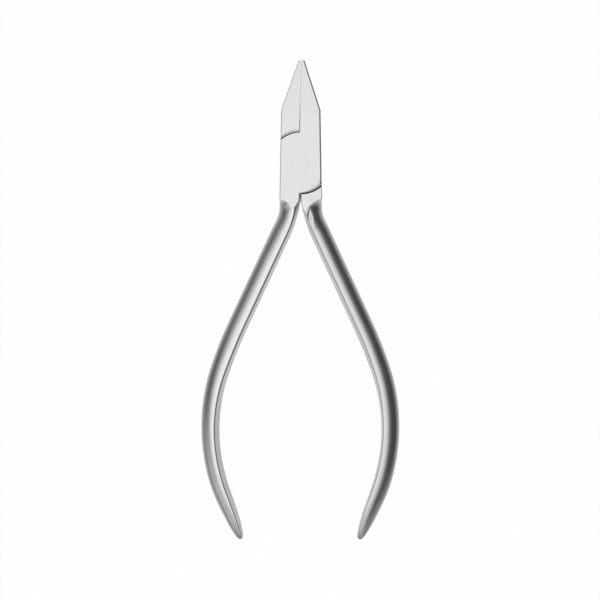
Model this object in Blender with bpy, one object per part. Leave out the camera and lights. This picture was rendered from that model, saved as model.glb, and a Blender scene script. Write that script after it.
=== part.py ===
"""Orthodontic pliers with a through-slot joint and a flush pivot rivet.

The pliers lie flat on their back face: +Z is up, +Y points to the tips, and the
pivot runs along Z through the origin. The jaws are closed. All sizes are metres.
"""
import math

import bmesh
import bpy

# Head: the flat block around the joint
HEAD_THICKNESS = 0.0080
HEAD_HALF_WIDTH = 0.00558
HEAD_SIDE_FLARE = math.radians(1.0)
NECK_REACH = 0.0098
EDGE_BREAK = 0.0003

# Joint: cheeks outside, tongue through the slot between them
CHEEK_RADIUS = 0.0083
SHOULDER_CLEARANCE = 0.0003
SHOULDER_CHAMFER = 0.00045
TONGUE_THICKNESS = 0.0032
TONGUE_CLEARANCE = 0.0001
STOP_REACH = 0.0069
STOP_CLEARANCE = 0.00015
OPENING_ANGLE = math.radians(30.0)

# Pivot rivet, peened into a countersink at each end and ground flush
RIVET_RADIUS = 0.0016
RIVET_HEAD_RADIUS = 0.0023
RIVET_HEAD_DEPTH = 0.0007
RIVET_SEAT_CLEARANCE = 0.00001
RIVET_RUNNING_CLEARANCE = 0.00005

# Jaws
JAW_REACH = 0.0279
JAW_TAPER_START = 0.0143
TIP_WIDTH = 0.0016
TIP_THICKNESS = 0.0020
TIP_OFFSET = 0.00018
SEAM_GAP_AT_TIP = 0.0001
SEAM_GAP_AT_ROOT = 0.0002
SEAM_OFFSET_AT_TIP = 0.00012
SEAM_OFFSET_AT_ROOT = -0.00038
FACE_BREAK_START = 0.0087
FACE_BREAK_END = 0.0131
FACE_BREAK_DROP = 0.00015

# Handles: a neck bend, a straight run, an easy bend, a bow that turns back, and a tail
HANDLE_GAP = 0.0004
NECK_BEND_RADIUS = 0.01753
HANDLE_LEAN = math.radians(24.9)
STRAIGHT_RUN = 0.0291
EASY_BEND_RADIUS = 0.1247
EASY_BEND_TURN = math.radians(5.95)
BOW_RADIUS = 0.0494
BOW_TURN = math.radians(41.55)
TAIL_RUN = 0.01206
NOSE_LENGTH = 0.0201
NOSE_FULLNESS = 0.395
NOSE_ROUNDING = 0.0120
ELLIPTIC = 0.5

# Width of the handles in plan: a slight waist at the neck, and narrower along the bow
HANDLE_WIDTH = 0.00533
BOW_WIDTH = 0.00478
NARROWING_START = 0.0392
NARROWING_RUN = 0.0397
WAIST_DEPTH = 0.00031
WAIST_RUN = 0.0096

# Handle section: rounded outside, drafted inside, parting line in the middle
GRIP_DEPTH = 0.0074
BOW_DEPTH = 0.0064
DRAFT_WIDTH = 0.0008
CREST_ROUNDING = 0.0006
CREST_SOFTNESS = 0.27
FACE_RUNOUT = 0.0032
DEPTH_EASE = 0.0038
ROUNDING_EASE = 0.0090

# Inner edge of each neck: the left one is chamfered at the root and drafted at once,
# the right one is sharp at the root and drafted further down
LEFT_DRAFT_RUN = 0.0022
INNER_CHAMFER = 0.00045
CHAMFER_SOFTNESS = 0.5
RIGHT_DRAFT_START = 0.0018
RIGHT_DRAFT_RUN = 0.0032
RIGHT_ROOT_ROUNDING = 0.0002

# Step at the right neck: the head's face rolls down to the lower crest of the handle
NECK_STEP_CENTRE = (0.0064, -0.0146)
NECK_STEP_RADIUS = 0.00435
NECK_ROLL_RADIUS = 0.00234
NECK_ROLL_TILT = math.radians(28.0)
NECK_ROLL_END_TILT = math.radians(4.0)
NECK_ROLL_STEPS = 4

# Steel: linear colour and roughness of the two surfaces
SATIN_COLOUR = (0.69, 0.69, 0.70)
SATIN_ROUGHNESS = 0.28
GROUND_COLOUR = (0.66, 0.66, 0.67)
GROUND_ROUGHNESS = 0.30

# Fineness of the curves
ARC_STEP = math.radians(4.0)
FACE_BREAK_STEPS = 6
NECK_RING_SPACING = 0.0005
RING_SPACING = 0.0018
STRAIGHT_RING_SPACING = 0.004
NOSE_RINGS = 10
NOSE_SWEEP = math.radians(86.0)
SECTION_STEPS = 18
TURNED_STEPS = 48
SHARP_ANGLE = math.radians(30.0)
CUTTER_MARGIN = 0.002
MERGE_DISTANCE = 0.0000001
PARALLEL = 0.000001

# Places on the section's outer ellipse, as angles up from its widest point
ROOT_SWING = math.radians(4.0)
SIDE_SWING = math.radians(76.0)
CREST_SWING = math.radians(84.0)

MID_HEIGHT = HEAD_THICKNESS / 2


def clear_scene():
    """Remove whatever the scene holds."""
    for item in list(bpy.data.objects):
        bpy.data.objects.remove(item, do_unlink=True)


def steel(name, colour, roughness):
    """Make a plain steel material."""
    material = bpy.data.materials.new(name)
    material.use_nodes = True
    shader = material.node_tree.nodes["Principled BSDF"]
    shader.inputs["Base Color"].default_value = (*colour, 1.0)
    shader.inputs["Metallic"].default_value = 1.0
    shader.inputs["Roughness"].default_value = roughness
    return material


def make_object(name, bm, material=None, rounded=True):
    """Turn a bmesh into a named object, smooth shaded where it is rounded."""
    bmesh.ops.remove_doubles(bm, verts=bm.verts, dist=MERGE_DISTANCE)
    bmesh.ops.recalc_face_normals(bm, faces=bm.faces)
    mesh = bpy.data.meshes.new(name)
    bm.to_mesh(mesh)
    bm.free()
    if rounded:
        mesh.shade_smooth()
        mesh.set_sharp_from_angle(angle=SHARP_ANGLE)
    if material:
        mesh.materials.append(material)
    item = bpy.data.objects.new(name, mesh)
    bpy.context.scene.collection.objects.link(item)
    return item


def as_tool(item):
    """Mark an object as a cutter or a shape that is joined to another."""
    item.hide_render = True
    item.display_type = "WIRE"
    return item


def combine(item, tool, operation):
    """Cut or join a tool object into an item."""
    modifier = item.modifiers.new(tool.name, "BOOLEAN")
    modifier.operation = operation
    modifier.solver = "EXACT"
    modifier.object = tool


def arc(radius, start, end):
    """Points on an arc about the pivot, both ends included."""
    steps = max(2, math.ceil(abs(end - start) / ARC_STEP))
    points = []
    for step in range(steps + 1):
        angle = start + (end - start) * step / steps
        points.append((radius * math.cos(angle), radius * math.sin(angle)))
    return points


def edged(points, chamfer):
    """Give every point of an outline the chamfer of the edge that leaves it."""
    return [(x, y, chamfer) for x, y in points]


def inset(before, here, after, turning):
    """Move a corner inwards by the chamfers of its two edges, and say how deep they go."""
    normals = []
    for start, end in ((before, here), (here, after)):
        length = math.hypot(end[0] - start[0], end[1] - start[1])
        normals.append((-turning * (end[1] - start[1]) / length, turning * (end[0] - start[0]) / length))
    (ax, ay), (bx, by) = normals
    first, second = before[2], here[2]
    cross = ax * by - ay * bx
    if abs(cross) < PARALLEL:
        shift = (ax * first, ay * first)
    else:
        shift = ((first * by - second * ay) / cross, (second * ax - first * bx) / cross)
    return (here[0] + shift[0], here[1] + shift[1]), max(first, second)


def rimmed_prism(outline):
    """Extrude a plan outline through the head, with chamfered rims front and back."""
    area = sum(a[0] * b[1] - b[0] * a[1] for a, b in zip(outline, outline[1:] + outline[:1]))
    turning = math.copysign(1.0, area)
    rings = [[], [], [], []]
    for index, here in enumerate(outline):
        after = outline[(index + 1) % len(outline)]
        (x, y), drop = inset(outline[index - 1], here, after, turning)
        rings[0].append((x, y, 0.0))
        rings[1].append((here[0], here[1], drop))
        rings[2].append((here[0], here[1], HEAD_THICKNESS - drop))
        rings[3].append((x, y, HEAD_THICKNESS))
    bm = bmesh.new()
    loops = [[bm.verts.new(point) for point in ring] for ring in rings]
    for low, high in zip(loops, loops[1:]):
        for index in range(len(low)):
            bm.faces.new((low[index - 1], low[index], high[index], high[index - 1]))
    bm.faces.new(loops[0])
    bm.faces.new(loops[-1])
    bmesh.ops.remove_doubles(bm, verts=bm.verts, dist=MERGE_DISTANCE)
    return bm


def jaw_thinning(y):
    """How far each face of the jaws lies below the head's face at a distance y."""
    if y <= FACE_BREAK_START:
        return 0.0
    if y <= FACE_BREAK_END:
        share = (y - FACE_BREAK_START) / (FACE_BREAK_END - FACE_BREAK_START)
        return FACE_BREAK_DROP * share * share
    share = (y - FACE_BREAK_END) / (JAW_REACH - FACE_BREAK_END)
    tip_drop = (HEAD_THICKNESS - TIP_THICKNESS) / 2
    return FACE_BREAK_DROP + (tip_drop - FACE_BREAK_DROP) * share


def thin_jaws(bm):
    """Bring the jaws' faces down towards the tips, with a soft break at the head."""
    for step in range(FACE_BREAK_STEPS + 1):
        y = FACE_BREAK_START + (FACE_BREAK_END - FACE_BREAK_START) * step / FACE_BREAK_STEPS
        parts = list(bm.verts) + list(bm.edges) + list(bm.faces)
        bmesh.ops.bisect_plane(
            bm, geom=parts, dist=MERGE_DISTANCE, plane_co=(0.0, y, 0.0), plane_no=(0.0, 1.0, 0.0))
    for vert in bm.verts:
        side = math.copysign(1.0, vert.co.z - MID_HEIGHT)
        vert.co.z -= side * jaw_thinning(vert.co.y)


def prism(outline, bottom, top):
    """Extrude a closed plan outline from one height to another."""
    bm = bmesh.new()
    base = bm.faces.new([bm.verts.new((x, y, bottom)) for x, y in outline])
    grown = bmesh.ops.extrude_face_region(bm, geom=[base])
    lifted = [part for part in grown["geom"] if isinstance(part, bmesh.types.BMVert)]
    bmesh.ops.translate(bm, verts=lifted, vec=(0.0, 0.0, top - bottom))
    bmesh.ops.recalc_face_normals(bm, faces=bm.faces)
    return bm


def turned(profile, centre=(0.0, 0.0)):
    """Spin a profile of (radius, height) points about an upright axis, the pivot's or another."""
    bm = bmesh.new()
    verts = [bm.verts.new((centre[0] + radius, centre[1], height)) for radius, height in profile]
    edges = [bm.edges.new(pair) for pair in zip(verts, verts[1:])]
    bmesh.ops.spin(
        bm, geom=verts + edges, cent=(*centre, 0.0), axis=(0.0, 0.0, 1.0),
        angle=math.tau, steps=TURNED_STEPS, use_merge=True,
    )
    return bm


def loft(rings):
    """Skin a row of closed rings and close both ends."""
    bm = bmesh.new()
    loops = []
    for ring in rings:
        verts = [bm.verts.new(point) for point in ring]
        edges = [bm.edges.new((verts[index - 1], verts[index])) for index in range(len(verts))]
        loops.append((verts, edges))
    for (_, near), (_, far) in zip(loops, loops[1:]):
        bmesh.ops.bridge_loops(bm, edges=near + far)
    bm.faces.new(loops[0][0])
    bm.faces.new(loops[-1][0])
    return bm


def side_x(y):
    """Half width of the head at a distance y along it."""
    return HEAD_HALF_WIDTH - y * math.tan(HEAD_SIDE_FLARE)


def side_on_circle(radius, upper):
    """Where the side of the head crosses a circle about the pivot."""
    slope = math.tan(HEAD_SIDE_FLARE)
    a = 1 + slope * slope
    b = -2 * HEAD_HALF_WIDTH * slope
    c = HEAD_HALF_WIDTH ** 2 - radius ** 2
    root = math.sqrt(b * b - 4 * a * c)
    y = (-b + root) / (2 * a) if upper else (-b - root) / (2 * a)
    return side_x(y), y


def seam_x(y, side):
    """The jaw face beside the seam: side +1 is the right jaw's, -1 the left jaw's."""
    share = (y - CHEEK_RADIUS) / (JAW_REACH - CHEEK_RADIUS)
    middle = SEAM_OFFSET_AT_ROOT + (SEAM_OFFSET_AT_TIP - SEAM_OFFSET_AT_ROOT) * share
    gap = SEAM_GAP_AT_ROOT + (SEAM_GAP_AT_TIP - SEAM_GAP_AT_ROOT) * share
    return middle + side * gap / 2


def slotted_outline():
    """Plan of the slotted half: right jaw, cheeks and the root of the left handle."""
    right_x, right_y = side_on_circle(CHEEK_RADIUS, upper=False)
    left_x, left_y = side_on_circle(CHEEK_RADIUS, upper=True)
    inner_x = -HANDLE_GAP / 2
    seam_top = seam_x(CHEEK_RADIUS, 1)
    lower = arc(CHEEK_RADIUS, math.atan2(right_y, right_x), -math.acos(inner_x / CHEEK_RADIUS))
    upper = arc(CHEEK_RADIUS, math.atan2(left_y, -left_x), math.acos(seam_top / CHEEK_RADIUS))
    return [
        (seam_x(JAW_REACH, 1), JAW_REACH, 0.0),
        (TIP_OFFSET + TIP_WIDTH / 2, JAW_REACH, EDGE_BREAK),
        (side_x(JAW_TAPER_START), JAW_TAPER_START, EDGE_BREAK),
        *edged(lower[:-1], SHOULDER_CHAMFER),
        (*lower[-1], INNER_CHAMFER),
        (inner_x, -NECK_REACH, 0.0),
        (-side_x(-NECK_REACH), -NECK_REACH, EDGE_BREAK),
        *edged(upper[:-1], SHOULDER_CHAMFER),
        (*upper[-1], 0.0),
    ]


def tongue_corner(turn):
    """The upper right end of the tongue, turned about the pivot by a half turn or not.

    It is flat against the end of the slot when the jaws are closed, and its flank
    is flat against the same wall when they are fully open.
    """
    reach = STOP_REACH - STOP_CLEARANCE
    flank = math.pi / 2 - OPENING_ANGLE
    slope = math.tan(HEAD_SIDE_FLARE) * (-1 if turn else 1)
    side_y = (reach - HEAD_HALF_WIDTH * math.cos(flank)) / (
        math.sin(flank) - slope * math.cos(flank))
    side = HEAD_HALF_WIDTH - slope * side_y
    points = [(side, side_y)] + arc(reach, flank, math.pi / 2)
    if turn:
        points = [(-x, -y) for x, y in points]
    return points


def tongue_outline():
    """Plan of the tongued half: left jaw, tongue and the root of the right handle."""
    reach = STOP_REACH - STOP_CLEARANCE
    inner_x = HANDLE_GAP / 2
    return [
        (seam_x(JAW_REACH, -1), JAW_REACH, 0.0),
        (TIP_OFFSET - TIP_WIDTH / 2, JAW_REACH, EDGE_BREAK),
        (-side_x(JAW_TAPER_START), JAW_TAPER_START, EDGE_BREAK),
        *edged(tongue_corner(turn=True), 0.0),
        (inner_x, -reach, 0.0),
        (inner_x, -NECK_REACH, 0.0),
        (side_x(-NECK_REACH), -NECK_REACH, EDGE_BREAK),
        *edged(tongue_corner(turn=False), 0.0),
        (seam_x(reach, -1), reach, 0.0),
    ]


def slot_outline():
    """Plan of the slot: as wide as the head, and open where the tongue leaves it."""
    wide = 2 * HEAD_HALF_WIDTH
    beyond = CHEEK_RADIUS + CUTTER_MARGIN
    return [
        (-wide, -STOP_REACH),
        (-HANDLE_GAP / 2, -STOP_REACH),
        (-HANDLE_GAP / 2, -beyond),
        (wide, -beyond),
        (wide, STOP_REACH),
        (seam_x(STOP_REACH, 1), STOP_REACH),
        (seam_x(beyond, 1), beyond),
        (-wide, beyond),
    ]


def handle_path():
    """Stations down a handle: x, y, heading away from the axis, and length so far."""
    start_x = (side_x(-NECK_REACH) + HANDLE_GAP / 2) / 2
    stations = [(start_x, -NECK_REACH, 0.0, 0.0)]

    def run(length, turn, spacing):
        x, y, heading, travelled = stations[-1]
        steps = max(2, math.ceil(length / spacing))
        bend = turn / steps
        for step in range(steps):
            chord = length / steps
            if bend:
                chord = 2 * (length / turn) * math.sin(bend / 2)
            middle = heading + bend * (step + 0.5)
            x += chord * math.sin(middle)
            y -= chord * math.cos(middle)
            travelled += length / steps
            stations.append((x, y, heading + bend * (step + 1), travelled))

    run(NECK_BEND_RADIUS * HANDLE_LEAN, HANDLE_LEAN, NECK_RING_SPACING)
    run(STRAIGHT_RUN, 0.0, STRAIGHT_RING_SPACING)
    run(EASY_BEND_RADIUS * EASY_BEND_TURN, -EASY_BEND_TURN, STRAIGHT_RING_SPACING)
    run(BOW_RADIUS * BOW_TURN, -BOW_TURN, RING_SPACING)
    run(TAIL_RUN, 0.0, RING_SPACING)
    return stations


def station_at(stations, travelled):
    """Interpolate the path at a length from its start."""
    for near, far in zip(stations, stations[1:]):
        if travelled <= far[3]:
            share = (travelled - near[3]) / (far[3] - near[3])
            return tuple(a + (b - a) * share for a, b in zip(near, far))
    return stations[-1]


def handle_rings(side):
    """Section rings of one handle: side +1 is the right handle, -1 the left one."""
    path = handle_path()
    total = path[-1][3]
    nose_start = total - NOSE_LENGTH
    stations = [station for station in path if station[3] < nose_start]
    for step in range(NOSE_RINGS + 1):
        swing = NOSE_SWEEP * step / NOSE_RINGS
        stations.append(station_at(path, nose_start + NOSE_LENGTH * math.sin(swing)))
    rings = []
    for x, y, heading, travelled in stations:
        across = (math.cos(heading), math.sin(heading))
        ring = []
        for offset, height in handle_section(travelled, total, side):
            ring.append((
                side * (x + across[0] * offset),
                y + across[1] * offset,
                MID_HEIGHT + height,
            ))
        rings.append(ring)
    return rings


def blend(start, end, share):
    """A smooth step from one value to another."""
    share = min(1.0, max(0.0, share))
    return start + (end - start) * share * share * (3 - 2 * share)


def rounded_end(travelled, total, length, fullness):
    """How much of a size is left at a point on a rounded end: less fullness is blunter."""
    along = max(0.0, (travelled - total + length) / length)
    return max(0.0, 1 - along * along) ** fullness


def handle_width(travelled, total):
    """Width of a handle in plan, at a length from its root."""
    root_width = side_x(-NECK_REACH) - HANDLE_GAP / 2
    width = blend(root_width, HANDLE_WIDTH, travelled / FACE_RUNOUT)
    width += blend(0.0, BOW_WIDTH - HANDLE_WIDTH, (travelled - NARROWING_START) / NARROWING_RUN)
    if travelled < WAIST_RUN:
        width -= WAIST_DEPTH * math.sin(math.pi * travelled / WAIST_RUN) ** 2
    return width * rounded_end(travelled, total, NOSE_LENGTH, NOSE_FULLNESS)


def handle_height(travelled, total):
    """Height of a handle's crest above the parting line, at a length from its root."""
    if travelled <= FACE_RUNOUT:
        return MID_HEIGHT
    height = blend(MID_HEIGHT, GRIP_DEPTH / 2, (travelled - FACE_RUNOUT) / DEPTH_EASE)
    share = (travelled - FACE_RUNOUT) / (total - NOSE_ROUNDING - FACE_RUNOUT)
    height += (BOW_DEPTH - GRIP_DEPTH) / 2 * min(1.0, share)
    return height * rounded_end(travelled, total, NOSE_ROUNDING, ELLIPTIC)


def drafted_side(draft, rounding, top, softness):
    """Inner side of a section, from its crest down the draft, without the parting point."""
    slant = math.hypot(draft, top)
    cut = softness * rounding
    low = 1 - rounding / slant
    return [
        (draft + rounding, top),
        (draft + cut * (1 - draft / slant), top - cut * top / slant),
        (draft * low, top * low),
    ]


def rounded_side(crest, width, top, runout):
    """Outer side of a section: flat at the head, and an ellipse once the face has run out."""
    reach = width - crest
    edge_break = EDGE_BREAK * (1 - runout)
    swing = max(math.acos(1 - runout), ROOT_SWING)
    depth = top / math.sin(swing) if runout < 1 else top
    crest_swing = min(swing, CREST_SWING)
    side_swing = min(math.asin((top - edge_break) / depth), SIDE_SWING)
    side = [(crest + reach * math.cos(crest_swing) - edge_break, depth * math.sin(crest_swing))]
    for step in range(SECTION_STEPS // 2):
        angle = side_swing * (1 - 2 * step / SECTION_STEPS)
        side.append((crest + reach * math.cos(angle), depth * math.sin(angle)))
    return side


def root_side(width, side):
    """The outer side where it meets the head: upright, with the head's broken edge."""
    corner = width - EDGE_BREAK / math.cos(HEAD_SIDE_FLARE)
    return [(corner, MID_HEIGHT)] + [(width, height) for _, height in side[1:]]


def handle_section(travelled, total, side):
    """One closed section as (offset outwards, height) points, from the inner parting line."""
    width = handle_width(travelled, total)
    top = handle_height(travelled, total)
    runout = min(1.0, travelled / FACE_RUNOUT)
    shrink = min(1.0, width / HANDLE_WIDTH)
    if side < 0:
        drafted = travelled / LEFT_DRAFT_RUN
        root_rounding, root_softness = INNER_CHAMFER, CHAMFER_SOFTNESS
    else:
        drafted = (travelled - RIGHT_DRAFT_START) / RIGHT_DRAFT_RUN
        root_rounding, root_softness = RIGHT_ROOT_ROUNDING, 0.0
    draft = blend(0.0, DRAFT_WIDTH, drafted) * shrink
    rounding = blend(root_rounding, CREST_ROUNDING, travelled / ROUNDING_EASE)
    rounding *= min(shrink, 2 * top / BOW_DEPTH)
    softness = blend(root_softness, CREST_SOFTNESS, runout)
    inner = drafted_side(draft, rounding, top, softness)
    outer = rounded_side(draft + rounding, width, top, runout)
    if travelled == 0.0:
        outer = root_side(width, outer)
    upper = [(0.0, 0.0)] + inner[::-1] + outer
    lower = [(offset, -height) for offset, height in upper[:0:-1]]
    section = upper + [(width, 0.0)] + lower
    return [(offset - width / 2, height) for offset, height in section]


def make_handle(name, side):
    """Loft one handle from its root at the head to its rounded end."""
    return as_tool(make_object(name, loft(handle_rings(side))))


def relief_tool(name, flip):
    """The round pocket that clears a cheek, with a chamfered rim at the head's face."""
    floor = MID_HEIGHT + flip * TONGUE_THICKNESS / 2
    face = MID_HEIGHT + flip * MID_HEIGHT
    radius = CHEEK_RADIUS + SHOULDER_CLEARANCE
    profile = [
        (0.0, face + flip * CUTTER_MARGIN),
        (radius + SHOULDER_CHAMFER + CUTTER_MARGIN, face + flip * CUTTER_MARGIN),
        (radius, face - flip * SHOULDER_CHAMFER),
        (radius, floor),
        (0.0, floor),
    ]
    return as_tool(make_object(name, turned(profile)))


def neck_step_tool(name, flip):
    """The round room above the right neck, whose wall rolls up to the head's face."""
    face = MID_HEIGHT + flip * MID_HEIGHT
    beyond = face + flip * CUTTER_MARGIN
    wall = []
    for step in range(NECK_ROLL_STEPS + 1):
        tilt = NECK_ROLL_TILT + (NECK_ROLL_END_TILT - NECK_ROLL_TILT) * step / NECK_ROLL_STEPS
        radius = NECK_STEP_RADIUS + NECK_ROLL_RADIUS * (math.sin(NECK_ROLL_TILT) - math.sin(tilt))
        drop = NECK_ROLL_RADIUS * (math.cos(NECK_ROLL_END_TILT) - math.cos(tilt))
        wall.append((radius, face - flip * drop))
    profile = [
        (0.0, beyond),
        (wall[-1][0] + CUTTER_MARGIN, beyond),
        *wall[::-1],
        (0.0, wall[0][1]),
    ]
    return as_tool(make_object(name, turned(profile, NECK_STEP_CENTRE)))


def rivet_profile(clearance, overrun):
    """Half section of the rivet, or of its seat when a clearance is given."""
    shank = RIVET_RADIUS + clearance
    head = RIVET_HEAD_RADIUS + clearance
    profile = [(0.0, HEAD_THICKNESS + overrun), (head, HEAD_THICKNESS + overrun)]
    if overrun:
        profile.append((head, HEAD_THICKNESS))
    profile += [(shank, HEAD_THICKNESS - RIVET_HEAD_DEPTH), (shank, RIVET_HEAD_DEPTH)]
    if overrun:
        profile.append((head, 0.0))
    profile += [(head, -overrun), (0.0, -overrun)]
    return profile


def make_box_half(material):
    """The slotted half: right jaw, two cheeks with the slot between, left handle."""
    plate = rimmed_prism(slotted_outline())
    thin_jaws(plate)
    half = make_object("box_half", plate, material, rounded=False)
    slot_half = TONGUE_THICKNESS / 2 + TONGUE_CLEARANCE
    slot = prism(slot_outline(), MID_HEIGHT - slot_half, MID_HEIGHT + slot_half)
    seat = turned(rivet_profile(RIVET_SEAT_CLEARANCE, CUTTER_MARGIN))
    combine(half, make_handle("left_handle_form", -1), "UNION")
    combine(half, as_tool(make_object("slot_tool", slot, rounded=False)), "DIFFERENCE")
    combine(half, as_tool(make_object("rivet_seat_tool", seat)), "DIFFERENCE")
    return half


def make_tongue_half(material):
    """The tongued half: left jaw, the tongue through the slot, right handle."""
    plate = rimmed_prism(tongue_outline())
    thin_jaws(plate)
    half = make_object("tongue_half", plate, material, rounded=False)
    radius = RIVET_RADIUS + RIVET_RUNNING_CLEARANCE
    bore = turned([
        (0.0, HEAD_THICKNESS), (radius, HEAD_THICKNESS), (radius, 0.0), (0.0, 0.0),
    ])
    combine(half, make_handle("right_handle_form", 1), "UNION")
    combine(half, relief_tool("front_relief_tool", 1), "DIFFERENCE")
    combine(half, relief_tool("back_relief_tool", -1), "DIFFERENCE")
    combine(half, neck_step_tool("front_neck_tool", 1), "DIFFERENCE")
    combine(half, neck_step_tool("back_neck_tool", -1), "DIFFERENCE")
    combine(half, as_tool(make_object("bore_tool", bore)), "DIFFERENCE")
    return half


def make_rivet(material):
    """The pivot rivet, flush with both faces of the head."""
    return make_object("pivot_rivet", turned(rivet_profile(0.0, 0.0)), material)


def main():
    clear_scene()
    satin = steel("satin_steel", SATIN_COLOUR, SATIN_ROUGHNESS)
    ground = steel("ground_steel", GROUND_COLOUR, GROUND_ROUGHNESS)
    make_box_half(satin)
    make_tongue_half(satin)
    make_rivet(ground)


main()
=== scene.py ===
"""Looks of a pair of orthodontic pliers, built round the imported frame.

The pliers lie on their back face: +Z is up, +Y points to the tips, and the pivot runs
along Z through the origin. The jaws are closed. All sizes are metres, as in the frame.
"""
import logging
import math
from dataclasses import dataclass
from enum import Enum

import bmesh
import bpy
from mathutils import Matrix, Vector


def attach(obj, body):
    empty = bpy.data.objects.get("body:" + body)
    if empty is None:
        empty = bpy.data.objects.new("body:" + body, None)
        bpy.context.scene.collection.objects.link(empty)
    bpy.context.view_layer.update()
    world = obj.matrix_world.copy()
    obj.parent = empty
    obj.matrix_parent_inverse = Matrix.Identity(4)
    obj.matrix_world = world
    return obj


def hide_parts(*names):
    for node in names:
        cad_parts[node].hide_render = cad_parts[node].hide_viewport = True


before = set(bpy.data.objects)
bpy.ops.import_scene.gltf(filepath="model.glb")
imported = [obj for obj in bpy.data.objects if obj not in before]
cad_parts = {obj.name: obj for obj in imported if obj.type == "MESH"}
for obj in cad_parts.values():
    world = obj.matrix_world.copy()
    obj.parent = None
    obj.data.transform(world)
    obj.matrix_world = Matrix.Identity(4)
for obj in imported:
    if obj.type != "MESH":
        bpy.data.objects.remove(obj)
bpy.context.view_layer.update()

MM = 0.001
MERGE_DISTANCE = 0.0000002
SHARP_ANGLE = math.radians(32.0)
# Below this turn two edges share one even inset
SOFT_CORNER = math.sin(math.radians(10.0))
# A wave texture at a scale of 1 repeats after this length
WAVE_PERIOD = math.pi / 10
GRAIN_MAP = "grain"
PHOTO_WIDTH_PX = 600
MM_PER_PX = 0.2708

log = logging.getLogger("pliers")

Point = tuple[float, float]
Corner = tuple[float, float, float]
Ring = list[Corner]


class Side(Enum):
    """The side of the pivot axis that a handle or a jaw lies on."""

    LEFT = -1
    RIGHT = 1


class Cut(Enum):
    """What a tool does to the piece that it meets."""

    JOIN = "UNION"
    REMOVE = "DIFFERENCE"


# Nodes and colours


def linear(code: str) -> tuple[float, float, float, float]:
    """Turn an sRGB hex colour into the linear colour that a shader takes.

    Args:
        code: the colour as "#rrggbb".

    Returns:
        Red, green, blue and an alpha of 1.
    """
    levels = [int(code[place:place + 2], 16) / 255 for place in (1, 3, 5)]
    parts = [level / 12.92 if level <= 0.04045 else ((level + 0.055) / 1.055) ** 2.4 for level in levels]
    return (*parts, 1.0)


def add_node(tree: bpy.types.NodeTree, kind: str, settings: dict | None = None,
             inputs: dict | None = None) -> bpy.types.Node:
    """Add a node with its settings and links.

    Args:
        tree: the node tree that it joins.
        kind: the node's type, such as "ShaderNodeMath".
        settings: the node's own properties by name.
        inputs: for each input, by name or number, a value or the output that feeds it.

    Returns:
        The new node.
    """
    node = tree.nodes.new(kind)
    for name, value in (settings or {}).items():
        setattr(node, name, value)
    for key, value in (inputs or {}).items():
        if isinstance(value, bpy.types.NodeSocket):
            tree.links.new(value, node.inputs[key])
        else:
            node.inputs[key].default_value = value
    return node


def calculate(tree: bpy.types.NodeTree, operation: str,
              *values: float | bpy.types.NodeSocket) -> bpy.types.NodeSocket:
    """Add one sum on numbers or outputs, such as "ADD", and give its result."""
    return add_node(tree, "ShaderNodeMath", {"operation": operation}, dict(enumerate(values))).outputs[0]


def fade(tree: bpy.types.NodeTree, value: bpy.types.NodeSocket, gone: float, full: float,
         strength: float) -> bpy.types.NodeSocket:
    """Add a smooth rise from nothing to a strength.

    Args:
        tree: the node tree.
        value: what the rise follows.
        gone: the value at which it is nothing.
        full: the value at which it is the strength.
        strength: its highest level.

    Returns:
        The level.
    """
    low, high = min(gone, full), max(gone, full)
    ends = (0.0, strength) if gone < full else (strength, 0.0)
    return add_node(tree, "ShaderNodeMapRange", {"interpolation_type": "SMOOTHSTEP"}, {
        "Value": value, "From Min": low, "From Max": high, "To Min": ends[0], "To Max": ends[1],
    }).outputs[0]


def new_material(name: str) -> tuple[bpy.types.Material, bpy.types.NodeTree, bpy.types.Node]:
    """Start a material and give it with its node tree and its shader."""
    material = bpy.data.materials.new(name)
    material.use_nodes = True
    return material, material.node_tree, material.node_tree.nodes["Principled BSDF"]


def pattern_metal(tree: bpy.types.NodeTree, pattern: bpy.types.NodeSocket, height: bpy.types.NodeSocket,
                  colours: tuple[str, str], relief: float) -> None:
    """Make a shader metal, with a pattern in its colour and in its surface.

    Args:
        tree: the material's node tree.
        pattern: what the colour follows.
        height: what the surface follows.
        colours: the colours at the pattern's low and high ends.
        relief: how far the surface rises.
    """
    shader = tree.nodes["Principled BSDF"]
    tint = add_node(tree, "ShaderNodeMix", {"data_type": "RGBA"}, {
        0: pattern, 6: linear(colours[0]), 7: linear(colours[1]),
    })
    bump = add_node(tree, "ShaderNodeBump", inputs={"Height": height, "Distance": relief, "Strength": 1.0})
    tree.links.new(tint.outputs[2], shader.inputs["Base Color"])
    tree.links.new(bump.outputs[0], shader.inputs["Normal"])
    shader.inputs["Metallic"].default_value = 1.0


# Finishes


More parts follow.
